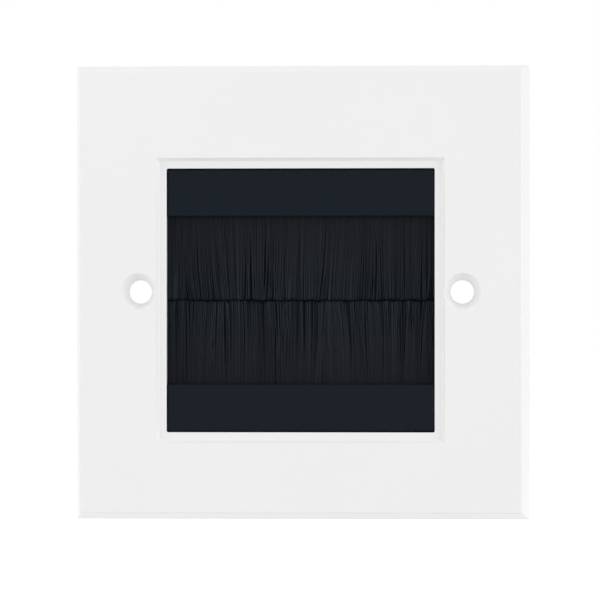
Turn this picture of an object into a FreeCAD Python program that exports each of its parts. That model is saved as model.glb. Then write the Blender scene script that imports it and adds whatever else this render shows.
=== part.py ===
import FreeCAD
import Part
import math
import os

# Square wall plate with a brush insert. Cables come out of the wall between two facing rows of
# bristles. The plate is one white moulding. The insert is a black moulded frame that snaps into the
# plate from behind and holds two strip brushes: bristles folded round a wire in a steel channel.
# X is to the right, Z is up and -Y comes out of the wall. The origin lies halfway between the two
# fixing holes, where their bosses end. All sizes are in millimetres.

# Wall plate
plate_side = 86.0
plate_depth = 9.0
side_draft = 1.8
corner_radius = 0.5
front_edge_radius = 0.35
face_wall = 2.4
skirt_wall = 2.0
rib_wall = 1.2
rib_setback = 2.5
rib_spacing = 42.0

# Fixing holes: tapered for a sunk screw head, each through a short boss
fixing_spacing = 60.3
fixing_hole_radius = 2.2
countersink_radius = 3.48
countersink_angle = 48.0
boss_wall = 2.0
boss_depth = 4.5
hole_to_aperture = 5.15

# Aperture in the plate, with a shallow bevelled rim round it on the front
aperture_height = 49.2
aperture_drop = 1.6
aperture_corner = 0.3
rim_margin = 1.9
rim_depth = 0.8
rim_bevel = 0.6
lip_thickness = 1.0

# Collar behind the aperture, with snap hooks that hold the insert
collar_wall = 1.4
hook_width = 7.0
hook_spacing = 24.0
hook_relief = 0.9
hook_relief_depth = 3.2
hook_reach = 0.8
hook_nose = 1.15
hook_clearance = 0.05

# Insert frame: two slotted rails joined by an arm at each end
flange_overlap = 0.6
flange_clearance = 0.2
insert_right = 0.1
face_gap = 0.2
face_sink = 0.2
rail_edge_radius = 0.4
rail_front_wall = 0.9
rail_back_wall = 1.2
rail_outer_wall = 1.4
slot_lip = 2.91
arm_width = 2.6
arm_corner_radius = 1.0

# Strip brushes: steel channel, core wire and bristles
channel_width = 3.0
channel_height = 5.0
channel_wall = 0.4
channel_bend_radius = 0.8
slot_clearance = 0.1
strip_end_clearance = 0.2
mouth_clearance = 0.12
wire_radius = 0.5
wire_clearance = 0.03
pinch_clearance = 0.03
tip_gap = 0.16

# Tufts that the free bristles stand in, in a front and a back layer that hide each other's slits
tuft_pitch = 1.15
tuft_groove = 0.13
layer_overlap = 0.2
slit_width = 0.3
slit_shortest = 3.0
slit_longest = 12.5
slit_lean = 0.22
tip_raggedness = 0.3

# Depths, measured back from the face
boss_end_y = 0.0
face_y = boss_end_y - boss_depth
wall_y = face_y + plate_depth
face_back_y = face_y + face_wall
rim_y = face_y + rim_depth
shoulder_y = rim_y + lip_thickness
insert_face_y = rim_y + face_sink
slot_front_y = insert_face_y + rail_front_wall
slot_back_y = slot_front_y + channel_width + 2 * slot_clearance
insert_back_y = slot_back_y + rail_back_wall
brush_y = (slot_front_y + slot_back_y) / 2
hook_catch_y = insert_back_y + hook_clearance
hook_tip_y = hook_catch_y + hook_nose

# Half sizes of the aperture and of what fits behind it
aperture_z = -aperture_drop
aperture_width = fixing_spacing - 2 * hole_to_aperture
insert_place = FreeCAD.Vector(insert_right, 0, aperture_z)
flange_half_width = aperture_width / 2 + flange_overlap
flange_half_height = aperture_height / 2 + flange_overlap
pocket_half_width = flange_half_width + flange_clearance
pocket_half_height = flange_half_height + flange_clearance
collar_half_width = pocket_half_width + collar_wall
collar_half_height = pocket_half_height + collar_wall

# Heights above the middle of the insert, on its upper half
slot_end_z = flange_half_height - rail_outer_wall
slot_mouth_z = slot_end_z - channel_height - 2 * slot_clearance
rail_edge_z = slot_mouth_z - slot_lip
channel_end_z = slot_end_z - slot_clearance
channel_mouth_z = channel_end_z - channel_height
strip_length = 2 * (flange_half_width - strip_end_clearance)
bristle_pack = channel_width - 2 * channel_wall - 2 * pinch_clearance
fold_end_z = channel_end_z - channel_wall - pinch_clearance
wire_z = fold_end_z - bristle_pack / 2

# How far a cutting tool runs past the face that it opens
overrun = 1.0


def outline(points, radii):
    """Closed wire through the points, with each corner rounded by its radius, or sharp at 0."""
    corners = []
    for index, corner in enumerate(points):
        back = (points[index - 1] - corner).normalize()
        ahead = (points[(index + 1) % len(points)] - corner).normalize()
        half_angle = back.getAngle(ahead) / 2
        radius = radii[index]
        tangent = radius / math.tan(half_angle)
        towards_centre = (back + ahead).normalize()
        middle = corner + towards_centre * (radius / math.sin(half_angle) - radius)
        corners.append((corner + back * tangent, middle, corner + ahead * tangent))
    edges = []
    for index, (start, middle, end) in enumerate(corners):
        if radii[index] > 0:
            edges.append(Part.Arc(start, middle, end).toShape())
        next_start = corners[(index + 1) % len(corners)][0]
        edges.append(Part.LineSegment(end, next_start).toShape())
    return Part.Wire(edges)


def rectangle(half_width, half_height, y, middle_z=0.0, radius=0.0):
    """Rectangle facing along Y, with its corners rounded."""
    corners = [
        FreeCAD.Vector(-half_width, y, middle_z - half_height),
        FreeCAD.Vector(half_width, y, middle_z - half_height),
        FreeCAD.Vector(half_width, y, middle_z + half_height),
        FreeCAD.Vector(-half_width, y, middle_z + half_height),
    ]
    return outline(corners, [radius] * len(corners))


def slab(half_width, half_height, front_y, back_y, middle_z=0.0, radius=0.0):
    """Block between two depths, with rounded corners along Y."""
    face = Part.Face(rectangle(half_width, half_height, front_y, middle_z, radius))
    return face.extrude(FreeCAD.Vector(0, back_y - front_y, 0))


def box(low, high):
    """Block between two opposite corners."""
    size = [top - bottom for bottom, top in zip(low, high)]
    return Part.makeBox(*size, FreeCAD.Vector(*low))


def along_x(wire, length):
    """Solid of one section drawn in the YZ plane, centred on x = 0."""
    solid = Part.Face(wire).extrude(FreeCAD.Vector(length, 0, 0))
    solid.translate(FreeCAD.Vector(-length / 2, 0, 0))
    return solid


def drafted_block(inset, front_y, back_y):
    """Block with the plate's leaning sides, inset from them all round."""
    wires = []
    for y in (front_y, back_y):
        half_side = plate_side / 2 - side_draft * (wall_y - y) / plate_depth - inset
        wires.append(rectangle(half_side, half_side, y))
    return Part.makeLoft(wires, True, True)


def plate_shell():
    """Square face with leaning sides and a skirt that meets the wall, hollow behind."""
    block = drafted_block(0.0, face_y, wall_y)
    leaning_edges = [edge for edge in block.Edges if edge.BoundBox.YLength > plate_depth / 2]
    block = block.makeFillet(corner_radius, leaning_edges)
    face_edges = [edge for edge in block.Edges if edge.BoundBox.YMax < face_y + front_edge_radius]
    block = block.makeFillet(front_edge_radius, face_edges)
    return block.cut(drafted_block(skirt_wall, face_back_y, wall_y + overrun))


def plate_ribs():
    """Ribs that brace the collar against the skirt: a low one through the bosses, and two tall ones."""
    rib_back_y = wall_y - rib_setback
    reach = plate_side / 2
    half_wall = rib_wall / 2
    ribs = [box((-reach, face_back_y, -half_wall), (reach, boss_end_y, half_wall))]
    for x in (-rib_spacing / 2, rib_spacing / 2):
        ribs.append(box((x - half_wall, face_back_y, -reach), (x + half_wall, rib_back_y, reach)))
    within_skirt = drafted_block(skirt_wall / 2, face_back_y, wall_y)
    return [rib.common(within_skirt) for rib in ribs]


def fixing_boss(x):
    """Tube round one fixing hole, behind the face."""
    start = FreeCAD.Vector(x, face_back_y, 0)
    inward = FreeCAD.Vector(0, 1, 0)
    return Part.makeCylinder(fixing_hole_radius + boss_wall, boss_end_y - face_back_y, start, inward)


def fixing_hole(x):
    """Through hole with a tapered seat for the screw's head."""
    start = FreeCAD.Vector(x, face_y - overrun, 0)
    inward = FreeCAD.Vector(0, 1, 0)
    slope = math.tan(math.radians(countersink_angle / 2))
    wide_radius = countersink_radius + overrun * slope
    hole = Part.makeCylinder(fixing_hole_radius, plate_depth + 2 * overrun, start, inward)
    cone = Part.makeCone(wide_radius, 0.0, wide_radius / slope, start, inward)
    return hole.fuse(cone)


def rim_recess():
    """Shallow pocket with bevelled sides round the front of the aperture."""
    floor_half_width = aperture_width / 2 + rim_margin - rim_bevel
    floor_half_height = aperture_height / 2 + rim_margin - rim_bevel
    slope = rim_bevel / rim_depth
    flare = slope * (rim_depth + overrun)
    mouth = rectangle(floor_half_width + flare, floor_half_height + flare, face_y - overrun, aperture_z)
    floor = rectangle(floor_half_width, floor_half_height, rim_y, aperture_z)
    return Part.makeLoft([mouth, floor], True, True)


def snap_hook(x, side):
    """Tongue on the collar with a nose that catches the insert's back; side is 1 above, -1 below."""
    root_z = pocket_half_height
    outer_z = collar_half_height
    section = [
        (insert_back_y - hook_relief_depth, root_z),
        (hook_catch_y, root_z),
        (hook_catch_y, root_z - hook_reach),
        (hook_tip_y, root_z),
        (hook_tip_y, outer_z),
        (insert_back_y - hook_relief_depth, outer_z),
    ]
    points = [FreeCAD.Vector(0, y, aperture_z + side * z) for y, z in section]
    hook = along_x(outline(points, [0.0] * len(points)), hook_width)
    hook.translate(FreeCAD.Vector(x, 0, 0))
    return hook


def hook_reliefs(x, side):
    """Slots through the collar on both sides of a hook, which let it bend."""
    inner_z = aperture_z + side * (pocket_half_height - overrun)
    outer_z = aperture_z + side * (collar_half_height + overrun)
    low_z, high_z = sorted([inner_z, outer_z])
    slots = []
    for edge in (-1, 1):
        inner_x = x + edge * hook_width / 2
        low_x, high_x = sorted([inner_x, inner_x + edge * hook_relief])
        front_y = insert_back_y - hook_relief_depth
        slots.append(box((low_x, front_y, low_z), (high_x, insert_back_y + overrun, high_z)))
    return slots


def make_face_plate():
    """White moulded plate: shell, collar, bosses, ribs, holes, rim and hooks in one piece."""
    hole_places = [-fixing_spacing / 2, fixing_spacing / 2]
    collar = slab(collar_half_width, collar_half_height, face_back_y, insert_back_y, aperture_z)
    bosses = [fixing_boss(x) for x in hole_places]
    plate = plate_shell().fuse([collar] + bosses + plate_ribs())

    front_y = face_y - overrun
    back_y = wall_y + overrun
    aperture = slab(aperture_width / 2, aperture_height / 2, front_y, back_y, aperture_z, aperture_corner)
    pocket = slab(pocket_half_width, pocket_half_height, shoulder_y, back_y, aperture_z)
    cuts = [aperture, pocket, rim_recess()] + [fixing_hole(x) for x in hole_places]
    hooks = []
    for side in (-1, 1):
        for x in (-hook_spacing / 2, hook_spacing / 2):
            cuts += hook_reliefs(x, side)
            hooks.append(snap_hook(x, side))
    return plate.cut(cuts).fuse(hooks).removeSplitter()


def upper_rail():
    """Rail above the cable gap, with a T-slot for the strip brush, about the insert's middle."""
    mouth_half = bristle_pack / 2 + mouth_clearance
    face_half_height = aperture_height / 2 - face_gap
    corners = [
        ((insert_face_y, rail_edge_z), rail_edge_radius),
        ((insert_face_y, face_half_height), rail_edge_radius),
        ((shoulder_y, face_half_height), 0.0),
        ((shoulder_y, flange_half_height), 0.0),
        ((insert_back_y, flange_half_height), 0.0),
        ((insert_back_y, rail_edge_z), 0.0),
        ((brush_y + mouth_half, rail_edge_z), 0.0),
        ((brush_y + mouth_half, slot_mouth_z), 0.0),
        ((slot_back_y, slot_mouth_z), 0.0),
        ((slot_back_y, slot_end_z), 0.0),
        ((slot_front_y, slot_end_z), 0.0),
        ((slot_front_y, slot_mouth_z), 0.0),
        ((brush_y - mouth_half, slot_mouth_z), 0.0),
        ((brush_y - mouth_half, rail_edge_z), 0.0),
    ]
    points = [FreeCAD.Vector(0, y, z) for (y, z), radius in corners]
    rail = along_x(outline(points, [radius for place, radius in corners]), 2 * flange_half_width)
    face_half_width = aperture_width / 2 - face_gap
    within_face = slab(face_half_width, face_half_height, insert_face_y, shoulder_y, 0.0, aperture_corner)
    behind_face = slab(flange_half_width, flange_half_height, shoulder_y, insert_back_y)
    return rail.common(within_face.fuse(behind_face))


def make_brush_frame():
    """Black moulded frame: two facing rails and an arm at each end behind the bristles."""
    upper = upper_rail()
    lower = upper.mirror(FreeCAD.Vector(0, 0, 0), FreeCAD.Vector(0, 0, 1))
    ring = slab(flange_half_width, rail_edge_z + slot_lip / 2, slot_back_y, insert_back_y)
    gap = slab(
        flange_half_width - arm_width, rail_edge_z, slot_back_y - overrun, insert_back_y + overrun, 0.0,
        arm_corner_radius,
    )
    frame = upper.fuse([lower, ring.cut(gap)]).removeSplitter()
    frame.translate(insert_place)
    return frame


def make_channel():
    """Steel strip folded into a channel with rounded bends, open downwards."""
    half = channel_width / 2
    inner_half = half - channel_wall
    inner_end_z = channel_end_z - channel_wall
    inner_bend = channel_bend_radius - channel_wall
    corners = [
        ((brush_y - half, channel_mouth_z), 0.0),
        ((brush_y - half, channel_end_z), channel_bend_radius),
        ((brush_y + half, channel_end_z), channel_bend_radius),
        ((brush_y + half, channel_mouth_z), 0.0),
        ((brush_y + inner_half, channel_mouth_z), 0.0),
        ((brush_y + inner_half, inner_end_z), inner_bend),
        ((brush_y - inner_half, inner_end_z), inner_bend),
        ((brush_y - inner_half, channel_mouth_z), 0.0),
    ]
    points = [FreeCAD.Vector(0, y, z) for (y, z), radius in corners]
    return along_x(outline(points, [radius for place, radius in corners]), strip_length)


def core_bar(radius):
    """Round bar along the fold of the bristles."""
    start = FreeCAD.Vector(-strip_length / 2, brush_y, wire_z)
    return Part.makeCylinder(radius, strip_length, start, FreeCAD.Vector(1, 0, 0))


def uneven(index, step):
    """Spread of values from 0 to 1 that doesn't repeat from one tuft to the next."""
    return (index * step) % 1.0


def tuft_edges(layer):
    """Where each tuft of a layer meets the next one, along X; the back layer is half a tuft along."""
    count = round(strip_length / tuft_pitch)
    pitch = strip_length / count
    end_x = strip_length / 2
    if layer == "front":
        return [pitch * index - end_x for index in range(count + 1)]
    return [-end_x] + [pitch * (index + 1 / 2) - end_x for index in range(count)] + [end_x]


def tuft_plan(layer):
    """Outline of one layer seen along the bristles: a row of round bundles, side by side."""
    outward = -1 if layer == "front" else 1
    crest_y = brush_y + outward * bristle_pack / 2
    valley_y = crest_y - outward * tuft_groove
    inner_y = brush_y - outward * layer_overlap / 2
    edges = tuft_edges(layer)
    curves = []
    for left, right in zip(edges, edges[1:]):
        start = FreeCAD.Vector(left, valley_y, 0)
        middle = FreeCAD.Vector((left + right) / 2, crest_y, 0)
        end = FreeCAD.Vector(right, valley_y, 0)
        curves.append(Part.Arc(start, middle, end).toShape())
    corners = [(edges[-1], valley_y), (edges[-1], inner_y), (edges[0], inner_y), (edges[0], valley_y)]
    sides = Part.makePolygon([FreeCAD.Vector(x, y, 0) for x, y in corners])
    return Part.Wire(curves + sides.Edges)


def tuft_front(layer, first_number):
    """Outline of one layer seen from the front: leaning slits of uneven length and ragged tips."""
    tip_z = tip_gap / 2
    edges = tuft_edges(layer)
    half_slits = [0.0]
    for number in range(first_number + 1, first_number + len(edges) - 1):
        half_slits.append(slit_width * (1 + uneven(number, math.sqrt(2))) / 4)
    half_slits.append(0.0)
    points = [FreeCAD.Vector(edges[0], 0, channel_mouth_z)]
    for index in range(len(edges) - 1):
        number = first_number + index
        left_x = edges[index] + half_slits[index]
        right_x = edges[index + 1] - half_slits[index + 1]
        points.append(FreeCAD.Vector(left_x, 0, tip_z + tip_raggedness * uneven(number, math.sqrt(3))))
        points.append(FreeCAD.Vector(right_x, 0, tip_z + tip_raggedness * uneven(number, math.sqrt(5))))
        if index + 2 < len(edges):
            slit_length = slit_shortest + (slit_longest - slit_shortest) * uneven(number, math.sqrt(7))
            lean = slit_lean * (uneven(number, math.sqrt(11)) - 1 / 2)
            points.append(FreeCAD.Vector(edges[index + 1] + lean, 0, tip_z + slit_length))
    points.append(FreeCAD.Vector(edges[-1], 0, channel_mouth_z))
    return Part.makePolygon(points + points[:1])


def tuft_layer(layer, first_number):
    """One layer of free bristles: its outline from the front, rounded into tufts by its plan."""
    front = Part.Face(tuft_front(layer, first_number)).extrude(FreeCAD.Vector(0, channel_width, 0))
    front.translate(FreeCAD.Vector(0, brush_y - channel_width / 2, 0))
    plan = Part.Face(tuft_plan(layer)).extrude(FreeCAD.Vector(0, 0, channel_mouth_z))
    return front.common(plan)


def make_bristles(row):
    """Bristles folded round the core wire, pinched in the channel and standing out in tufts."""
    half = bristle_pack / 2
    bend = channel_bend_radius - channel_wall
    fold = [
        FreeCAD.Vector(0, brush_y - half, channel_mouth_z),
        FreeCAD.Vector(0, brush_y - half, fold_end_z),
        FreeCAD.Vector(0, brush_y + half, fold_end_z),
        FreeCAD.Vector(0, brush_y + half, channel_mouth_z),
    ]
    root = along_x(outline(fold, [0.0, bend, bend, 0.0]), strip_length)
    root = root.cut(core_bar(wire_radius + wire_clearance))
    layers = []
    for index, layer in enumerate(("front", "back")):
        first_number = (2 * row + index) * len(tuft_edges(layer))
        layers.append(tuft_layer(layer, first_number))
    return root.fuse(layers).removeSplitter()


def placed(solid, side):
    """A strip brush piece in its rail: side is 1 for the upper one, -1 for the lower one."""
    if side < 0:
        solid = solid.mirror(FreeCAD.Vector(0, 0, 0), FreeCAD.Vector(0, 0, 1))
    solid.translate(insert_place)
    return solid


nodes = {
    "face_plate": make_face_plate(),
    "brush_frame": make_brush_frame(),
}
for row, (place, side) in enumerate([("upper", 1), ("lower", -1)]):
    nodes[place + "_channel"] = placed(make_channel(), side)
    nodes[place + "_core_wire"] = placed(core_bar(wire_radius), side)
    nodes[place + "_bristles"] = placed(make_bristles(row), side)

os.makedirs("parts", exist_ok=True)
for name, shape in nodes.items():
    shape.exportStep("parts/" + name + ".step")
    print(name, len(shape.Solids), "solid, valid", shape.isValid(), "volume", round(shape.Volume, 2))
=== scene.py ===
import math

import bpy
import numpy as np
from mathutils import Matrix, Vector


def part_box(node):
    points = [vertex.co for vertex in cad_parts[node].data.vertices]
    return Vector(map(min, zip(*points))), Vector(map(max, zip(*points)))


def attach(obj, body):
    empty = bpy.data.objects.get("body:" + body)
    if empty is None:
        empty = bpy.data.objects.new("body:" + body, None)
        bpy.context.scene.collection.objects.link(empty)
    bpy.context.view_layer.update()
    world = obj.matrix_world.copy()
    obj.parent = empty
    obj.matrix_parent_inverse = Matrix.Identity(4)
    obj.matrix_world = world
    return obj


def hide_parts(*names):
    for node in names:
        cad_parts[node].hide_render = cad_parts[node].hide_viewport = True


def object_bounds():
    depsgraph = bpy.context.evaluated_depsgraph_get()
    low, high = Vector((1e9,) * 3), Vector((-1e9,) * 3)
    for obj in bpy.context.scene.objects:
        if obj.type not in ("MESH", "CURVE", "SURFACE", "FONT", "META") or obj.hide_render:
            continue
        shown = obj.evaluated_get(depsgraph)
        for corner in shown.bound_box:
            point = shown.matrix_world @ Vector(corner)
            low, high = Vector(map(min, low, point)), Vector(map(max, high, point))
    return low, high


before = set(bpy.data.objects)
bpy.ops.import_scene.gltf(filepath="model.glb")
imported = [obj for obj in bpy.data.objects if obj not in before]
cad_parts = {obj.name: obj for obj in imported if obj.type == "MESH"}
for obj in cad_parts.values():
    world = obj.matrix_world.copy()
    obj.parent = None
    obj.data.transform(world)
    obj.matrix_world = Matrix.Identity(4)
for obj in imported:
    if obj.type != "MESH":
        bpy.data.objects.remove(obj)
cad_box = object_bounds()


# Core wires
# Two lengths of drawn steel wire, one in each strip brush. The bristles are folded over the wire,
# and it keeps them from pulling out once the channel is crimped round them.

mm = 0.001
draw_mark_width = 0.15 * mm
draw_mark_stretch = (40, 1, 1)
wire_dark = (0.38, 0.37, 0.36)
wire_bright = (0.56, 0.55, 0.53)
wire_roughness = (0.25, 0.45)


def new_finish(name):
    """A material with one principled shader, and the node tree that its texture is added to."""
    finish = bpy.data.materials.new(name)
    finish.use_nodes = True
    return finish, finish.node_tree, finish.node_tree.nodes["Principled BSDF"]


def noise_over(tree, grain, stretch=(1, 1, 1), detail=3):
    """Noise fixed to the piece, with features about one grain across, drawn out by stretch."""
    place = tree.nodes.new("ShaderNodeTexCoord")
    mapping = tree.nodes.new("ShaderNodeMapping")
    noise = tree.nodes.new("ShaderNodeTexNoise")
    for axis in range(3):
        mapping.inputs["Scale"].default_value[axis] = 1 / stretch[axis]
    noise.inputs["Scale"].default_value = 1 / grain
    noise.inputs["Detail"].default_value = detail
    tree.links.new(place.outputs["Object"], mapping.inputs["Vector"])
    tree.links.new(mapping.outputs["Vector"], noise.inputs["Vector"])
    return noise.outputs["Fac"]


def span(tree, factor, low, high):
    """Turns a factor from 0 to 1 into a number from low to high."""
    spread = tree.nodes.new("ShaderNodeMapRange")
    spread.inputs["To Min"].default_value = low
    spread.inputs["To Max"].default_value = high
    tree.links.new(factor, spread.inputs["Value"])
    return spread.outputs["Result"]


def colour_between(tree, factor, low, high):
    """Mixes two colours by a factor from 0 to 1."""
    blend = tree.nodes.new("ShaderNodeMix")
    blend.data_type = "RGBA"
    blend.inputs["A"].default_value = (*low, 1)
    blend.inputs["B"].default_value = (*high, 1)
    tree.links.new(factor, blend.inputs["Factor"])
    return blend.outputs["Result"]


def dress(node, finish):
    """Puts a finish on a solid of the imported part."""
    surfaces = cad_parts[node].data.materials
    surfaces.clear()
    surfaces.append(finish)


wire_finish, tree, shader = new_finish("drawn_steel")
shader.inputs["Metallic"].default_value = 1
draw_marks = noise_over(tree, draw_mark_width, draw_mark_stretch)
tree.links.new(colour_between(tree, draw_marks, wire_dark, wire_bright), shader.inputs["Base Color"])
tree.links.new(span(tree, draw_marks, *wire_roughness), shader.inputs["Roughness"])
dress("upper_core_wire", wire_finish)
dress("lower_core_wire", wire_finish)


# Bristles
# Two rows of black nylon filaments, each filament folded over the core wire so that both its ends
# stand out of the channel. They are trimmed square, and handling parts them into uneven clumps.

# Filaments, their layers from the wire outwards, and the rings of points along each
filament_radius = 0.09 * mm
filaments_per_row = 1400
filament_layers = (0, 4, 1, 0, 2, 4, 3)
layer_count = 5
layer_scatter = (0.2, 0.8)
filament_sides = 5
free_rings = (0, 0.35, 0.7, 0.97, 1)
bend_angles = (0, math.pi / 3, 2 * math.pi / 3, math.pi)
tip_taper = 0.8
root_jitter = 0.03 * mm

# Clumps and the partings between them, which are widest in the ruffled stretches of a row
fine_clump = (0.25 * mm, 0.75 * mm)
broad_clump = (1.8 * mm, 4.0 * mm)
broad_clump_share = 0.15
parting_width = (0.05 * mm, 1.1 * mm)
parting_length = (3 * mm, 15 * mm)
parting_lean = 0.42 * mm
parting_bow = 0.2 * mm
lean_memory = 0.5
ruffle_length = (1.5 * mm, 5 * mm)
ruffle_strength = (0.1, 2.0)
core_depth = 0.4
clump_sway = 0.12 * mm
clump_raggedness = 0.09 * mm

# How single filaments stand and end, and how much lower the rows meet at the back than in front
splay = 0.23 * mm
trim_raggedness = 0.22 * mm
interlace = 0.9 * mm
wander = 0.08 * mm
stray_share = 0.08
stray_lean = 0.5 * mm

# Tones of clumps and filaments, which differ less at the roots than at the tips
clump_shade = 0.1
filament_shade = 0.55
root_shade = 0.1
shade_range = (0.65, 1.35)
root_colour = (0.0088, 0.0101, 0.0140)
tip_colour = (0.0137, 0.0197, 0.0248)
bristle_specular = 0.1
bristle_roughness = (0.35, 0.55)
skin_grain = 0.1 * mm
skin_stretch = (1, 1, 12)


def part_into_clumps(random, half_length):
    """Partings between the clumps along one face of a row: place, lean, width and length of each."""
    places = [-half_length]
    leans = [0.0]
    while places[-1] < half_length:
        clump = broad_clump if random.random() < broad_clump_share else fine_clump
        places.append(places[-1] + random.uniform(*clump))
        leans.append(lean_memory * leans[-1] + random.normal(0, parting_lean))
    count = len(places)
    narrowest, widest = parting_width
    widths = narrowest + (widest - narrowest) * random.random(count) ** 2
    lengths = random.uniform(*parting_length, count)
    stretches = np.cumsum(random.uniform(*ruffle_length, int(2 * half_length / ruffle_length[0])))
    ruffles = np.interp(places, stretches - half_length, random.uniform(*ruffle_strength, len(stretches)))
    return np.array(places), np.array(leans) * ruffles, widths * ruffles, lengths


def comb_face(random, root_x, root_y, depth, half_length, mouth, free_end, reach):
    """Centrelines of one face's filaments from the mouth to the trimmed tips, and their clumps' shades."""
    count = len(root_x)
    places, leans, widths, lengths = part_into_clumps(random, half_length)
    clumps = len(places) - 1
    left = np.clip(np.searchsorted(places, root_x) - 1, 0, clumps - 1)
    right = left + 1
    across = (root_x - places[left]) / (places[right] - places[left])
    opening = np.clip((depth - core_depth) / (1 - core_depth), 0, 1)
    bows = random.normal(0, parting_bow, clumps + 1)
    sway = random.normal(0, clump_sway, clumps)[left]
    tip = free_end + reach - random.uniform(0, trim_raggedness, count)
    tip = tip + random.normal(0, clump_raggedness, clumps)[left] * depth
    strays = random.random(count) < stray_share
    own_lean = random.normal(0, wander, count)
    own_lean = (own_lean + random.normal(0, stray_lean, count) * strays) * opening
    own_sway = random.normal(0, wander, count) * depth
    points = np.zeros((count, len(free_rings), 3))
    for ring, share in enumerate(free_rings):
        drop = mouth + (tip - mouth) * share
        bent = share ** 2
        shift = own_lean * bent
        for side, weight, inward in ((left, 1 - across, 1), (right, across, -1)):
            parted = np.clip(1 - (free_end - drop) / lengths[side], 0, 1)
            swerve = leans[side] * bent + bows[side] * 4 * bent * (1 - bent)
            shift = shift + weight * (swerve + inward * widths[side] * parted / 2) * opening
        points[:, ring, 0] = root_x + shift
        points[:, ring, 1] = root_y + (np.sign(root_y) * splay * depth + sway * depth + own_sway) * bent
        points[:, ring, 2] = -drop
    return points, random.normal(0, clump_shade, clumps)[left]


def fold_filaments(random, half_length, half_pack, wire_radius, mouth, free_end, back_reach):
    """Centrelines and shades of a row's filaments, from the front tips over the wire to the back tips."""
    order = np.arange(filaments_per_row)
    layer = np.array(filament_layers)[order % len(filament_layers)]
    pitch = 2 * (half_length - filament_radius - root_jitter) / filaments_per_row
    root_x = (order + 0.5) * pitch - half_length + filament_radius + root_jitter
    depth = (layer + random.uniform(*layer_scatter, filaments_per_row)) / layer_count
    root_x = root_x + random.uniform(-root_jitter, root_jitter, filaments_per_row) * depth
    spread = filament_radius + depth * (half_pack - 2 * filament_radius)
    inner_bend = (wire_radius + filament_radius) / math.cos((bend_angles[1] - bend_angles[0]) / 2)
    bend_radius = inner_bend + depth * (half_pack - filament_radius - inner_bend)
    sizes = (half_length, mouth, free_end)
    front, front_shade = comb_face(random, root_x, -spread, depth, *sizes, 0)
    back, back_shade = comb_face(random, root_x, spread, depth, *sizes, back_reach)
    bend = np.zeros((filaments_per_row, len(bend_angles), 3))
    for ring, angle in enumerate(bend_angles):
        bend[:, ring, 0] = root_x
        bend[:, ring, 1] = -bend_radius * math.cos(angle)
        bend[:, ring, 2] = bend_radius * math.sin(angle)
    limit = half_length - filament_radius
    lines = np.concatenate([front[:, ::-1], bend, back], axis=1)
    lines[:, :, 0] = np.clip(lines[:, :, 0], -limit, limit)
    own_shade = random.uniform(-filament_shade, filament_shade, filaments_per_row)
    shown = root_shade + (1 - root_shade) * np.array(free_rings)
    front_shades = np.outer(own_shade + front_shade, shown[::-1])
    bend_shades = np.zeros((filaments_per_row, len(bend_angles)))
    back_shades = np.outer(own_shade + back_shade, shown)
    return lines, 0.5 + np.concatenate([front_shades, bend_shades, back_shades], axis=1)


def tubes_along(lines, name):
    """A mesh of closed round filaments along centrelines, tapered at both tips."""
    count, rings, _ = lines.shape
    run = np.gradient(lines, axis=1)
    run /= np.linalg.norm(run, axis=2, keepdims=True)
    across = np.array([1.0, 0, 0]) - run * run[:, :, :1]
    across /= np.linalg.norm(across, axis=2, keepdims=True)
    outward = np.cross(run, across)
    radius = np.full(rings, filament_radius)
    radius[[0, -1]] *= tip_taper
    turn = np.arange(filament_sides) * 2 * math.pi / filament_sides
    ring_shape = across[:, :, None] * np.cos(turn)[:, None] + outward[:, :, None] * np.sin(turn)[:, None]
    corners = lines[:, :, None] + ring_shape * radius[:, None, None]
    start = (np.arange(count)[:, None] * rings + np.arange(rings)) * filament_sides
    side = np.arange(filament_sides)
    near = start[:, :-1, None] + side
    near_next = start[:, :-1, None] + (side + 1) % filament_sides
    walls = np.stack([near, near_next, near_next + filament_sides, near + filament_sides], axis=-1)
    first_ends = start[:, 0, None] + side[::-1]
    last_ends = start[:, -1, None] + side
    faces = walls.reshape(-1, 4).tolist() + first_ends.tolist() + last_ends.tolist()
    mesh = bpy.data.meshes.new(name)
    mesh.from_pydata(corners.reshape(-1, 3).tolist(), [], faces)
    mesh.shade_smooth()
    return mesh


bristle_finish, tree, shader = new_finish("black_nylon_bristle")
shader.inputs["Specular IOR Level"].default_value = bristle_specular
toward_tip = tree.nodes.new("ShaderNodeAttribute")
toward_tip.attribute_name = "toward_tip"
own_tone = tree.nodes.new("ShaderNodeAttribute")
own_tone.attribute_name = "filament_shade"
along_colour = colour_between(tree, toward_tip.outputs["Fac"], root_colour, tip_colour)
shaded = tree.nodes.new("ShaderNodeMix")
shaded.data_type = "RGBA"
shaded.blend_type = "MULTIPLY"
shaded.inputs["Factor"].default_value = 1
tree.links.new(along_colour, shaded.inputs["A"])
tree.links.new(span(tree, own_tone.outputs["Fac"], *shade_range), shaded.inputs["B"])
tree.links.new(shaded.outputs["Result"], shader.inputs["Base Color"])
drawn_skin = noise_over(tree, skin_grain, skin_stretch)
tree.links.new(span(tree, drawn_skin, *bristle_roughness), shader.inputs["Roughness"])

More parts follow.
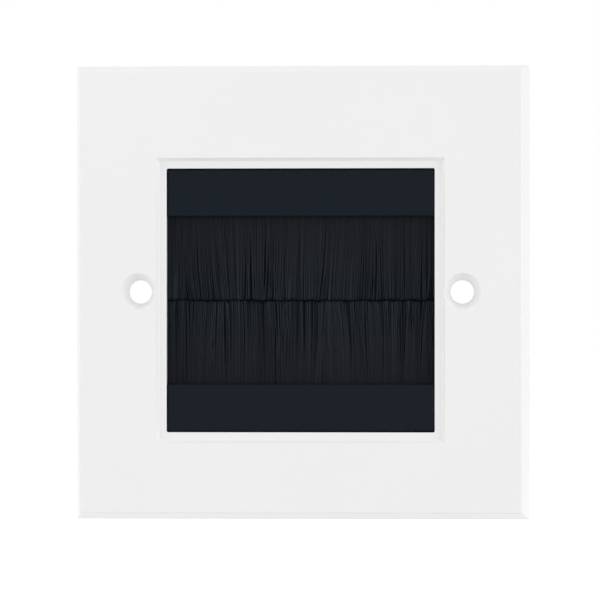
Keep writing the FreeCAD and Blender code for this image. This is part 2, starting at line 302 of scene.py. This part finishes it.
for row, upright, seed in (("upper", 1, 11), ("lower", -1, 31)):
    random = np.random.default_rng(seed)
    strip_low, strip_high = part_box(row + "_bristles")
    wire_low, wire_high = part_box(row + "_core_wire")
    channel_low, channel_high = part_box(row + "_channel")
    middle = (strip_low + strip_high) / 2
    wire_z = (wire_low.z + wire_high.z) / 2
    mouth_z = channel_low.z if row == "upper" else channel_high.z
    end_z = strip_low.z if row == "upper" else strip_high.z
    lines, shades = fold_filaments(random, strip_high.x - middle.x, strip_high.y - middle.y,
                                   (wire_high.z - wire_low.z) / 2, abs(wire_z - mouth_z),
                                   abs(wire_z - end_z), upright * interlace)
    mesh = tubes_along(lines * (upright, 1, upright), row + "_filaments")
    bristles = bpy.data.objects.new(row + "_filaments", mesh)
    bpy.context.scene.collection.objects.link(bristles)
    bristles.location = (middle.x, middle.y, wire_z)
    mesh.materials.append(bristle_finish)
    ring_share = np.concatenate([free_rings[::-1], np.zeros(len(bend_angles)), free_rings])
    tips = np.tile(np.repeat(ring_share ** 2, filament_sides), filaments_per_row)
    shades = np.repeat(shades.ravel(), filament_sides)
    for name, values in (("filament_shade", shades), ("toward_tip", tips)):
        mesh.attributes.new(name, "FLOAT", "POINT").data.foreach_set("value", values.astype(np.float32))
    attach(bristles, "root")
    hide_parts(row + "_bristles")


# Channels
# Two thin galvanised strips, roll-formed into a U and crimped over the folded bristles. Each slides
# endways into a slot of the frame, so almost nothing of it shows from the front.

spangle_size = 2.5 * mm
zinc_dark = (0.46, 0.47, 0.48)
zinc_bright = (0.62, 0.63, 0.64)
zinc_roughness = (0.3, 0.5)

channel_finish, tree, shader = new_finish("galvanised_strip")
shader.inputs["Metallic"].default_value = 1
spangle = noise_over(tree, spangle_size, detail=1)
tree.links.new(colour_between(tree, spangle, zinc_dark, zinc_bright), shader.inputs["Base Color"])
tree.links.new(span(tree, spangle, *zinc_roughness), shader.inputs["Roughness"])
dress("upper_channel", channel_finish)
dress("lower_channel", channel_finish)


# Brush frame
# One black plastic moulding with two broad bars across it, which hide the channels, and two thin
# arms. Its faces have the fine even grain of a spark-eroded mould.

spark_grain = 0.3 * mm
spark_depth = 0.01 * mm
spark_relief = 0.5
spark_contrast = (-0.8, 1.8)
frame_dark = (0.0042, 0.0076, 0.0126)
frame_light = (0.0066, 0.0108, 0.0171)
frame_specular = 0.1
frame_roughness = (0.5, 0.7)


def emboss(tree, shader, height, depth, relief):
    """Lets a texture catch the light as a relief of the given depth."""
    bump = tree.nodes.new("ShaderNodeBump")
    bump.inputs["Distance"].default_value = depth
    bump.inputs["Strength"].default_value = relief
    tree.links.new(height, bump.inputs["Height"])
    tree.links.new(bump.outputs["Normal"], shader.inputs["Normal"])


frame_finish, tree, shader = new_finish("black_grained_plastic")
shader.inputs["Specular IOR Level"].default_value = frame_specular
grain = noise_over(tree, spark_grain)
grain_tone = span(tree, grain, *spark_contrast)
tree.links.new(colour_between(tree, grain_tone, frame_dark, frame_light), shader.inputs["Base Color"])
tree.links.new(span(tree, grain, *frame_roughness), shader.inputs["Roughness"])
emboss(tree, shader, grain, spark_depth, spark_relief)
dress("brush_frame", frame_finish)


# Face plate
# One white moulding of hard, satin plastic, with a collar, hooks, ribs and two screw bosses behind
# it. The frame snaps in from the back, and two screws hold the plate to a wall box.

satin_grain = 1.6 * mm
satin_depth = 0.01 * mm
satin_relief = 0.25
flow_size = 28 * mm
plate_shaded = (0.862, 0.862, 0.860)
plate_white = (0.882, 0.882, 0.881)
plate_roughness = (0.28, 0.36)

plate_finish, tree, shader = new_finish("white_satin_plastic")
satin = noise_over(tree, satin_grain, detail=2)
flow = noise_over(tree, flow_size, detail=1)
tree.links.new(colour_between(tree, flow, plate_shaded, plate_white), shader.inputs["Base Color"])
tree.links.new(span(tree, satin, *plate_roughness), shader.inputs["Roughness"])
emboss(tree, shader, satin, satin_depth, satin_relief)
dress("face_plate", plate_finish)


# Studio
# A wide pale floor a little below the plate and an even white surround, with a lamp at each side
# and one overhead that graze the face, so that its bevels and the sunk holes show.

floor_drop = 30 * mm
floor_reach = 6.0
floor_colour = (0.92, 0.92, 0.92)
floor_roughness = 0.9
floor_white = 0.35
surround_light = 0.73
lamps = (("right_lamp", (1.62, -0.82, 0.0), 16.5, 1.4),
         ("left_lamp", (-0.85, -0.31, 0.0), 2.7, 0.6),
         ("top_lamp", (0.0, -0.24, 0.87), 1.0, 0.4))


def seen_directly(tree):
    """1 where the camera, a reflection or a clear piece looks at a surface, and 0 for its light."""
    path = tree.nodes.new("ShaderNodeLightPath")
    seen = path.outputs["Is Camera Ray"]
    for ray in ("Is Glossy Ray", "Is Transmission Ray"):
        either = tree.nodes.new("ShaderNodeMath")
        either.operation = "MAXIMUM"
        tree.links.new(seen, either.inputs[0])
        tree.links.new(path.outputs[ray], either.inputs[1])
        seen = either.outputs["Value"]
    return seen


world = bpy.data.worlds.new("white_surround")
world.use_nodes = True
bpy.context.scene.world = world
tree = world.node_tree
backdrop = tree.nodes["Background"]
backdrop.inputs["Color"].default_value = (1, 1, 1, 1)
tree.links.new(span(tree, seen_directly(tree), surround_light, 1), backdrop.inputs["Strength"])

floor_finish, tree, shader = new_finish("pale_floor")
shader.inputs["Base Color"].default_value = (*floor_colour, 1)
shader.inputs["Roughness"].default_value = floor_roughness
shader.inputs["Specular IOR Level"].default_value = 0
shader.inputs["Emission Color"].default_value = (1, 1, 1, 1)
tree.links.new(span(tree, seen_directly(tree), 0, floor_white), shader.inputs["Emission Strength"])
floor_z = cad_box[0].z - floor_drop
floor_mesh = bpy.data.meshes.new("floor")
floor_corners = [(x * floor_reach, y * floor_reach, floor_z)
                 for x, y in ((-1, -1), (1, -1), (1, 1), (-1, 1))]
floor_mesh.from_pydata(floor_corners, [], [(0, 1, 2, 3)])
floor_mesh.materials.append(floor_finish)
floor = bpy.data.objects.new("floor", floor_mesh)
bpy.context.scene.collection.objects.link(floor)

for name, place, watts, width in lamps:
    lamp = bpy.data.lights.new(name, "AREA")
    lamp.energy = watts
    lamp.size = width
    stand = bpy.data.objects.new(name, lamp)
    stand.location = place
    stand.rotation_euler = (-stand.location).to_track_quat("-Z", "Y").to_euler()
    bpy.context.scene.collection.objects.link(stand)


# Camera
# A long lens a little right of the plate's middle and below it, turned slightly towards it and
# shifted so that the plate stands in the frame as it does in the photograph.

photo_width = 600
photo_scale = 5.387 / mm
hole_line_x = 300.2
hole_line_y = 291.6
camera_distance = 420 * mm
camera_right = 23 * mm
camera_up = -8 * mm
camera_turn = math.radians(1.5)

field = photo_width / photo_scale
camera = bpy.data.cameras.new("camera")
camera.sensor_fit = "HORIZONTAL"
camera.lens = camera.sensor_width * camera_distance / field
aside = camera_distance * math.tan(math.atan(camera_right / camera_distance) - camera_turn)
camera.shift_x = ((photo_width / 2 - hole_line_x) / photo_scale - aside) / field
camera.shift_y = ((hole_line_y - photo_width / 2) / photo_scale - camera_up) / field
tripod = bpy.data.objects.new("camera", camera)
tripod.location = (camera_right, cad_box[0].y - camera_distance, camera_up)
tripod.rotation_euler = (math.pi / 2, 0, camera_turn)
bpy.context.scene.collection.objects.link(tripod)
bpy.context.scene.camera = tripod
bpy.context.scene.view_settings.view_transform = "Standard"
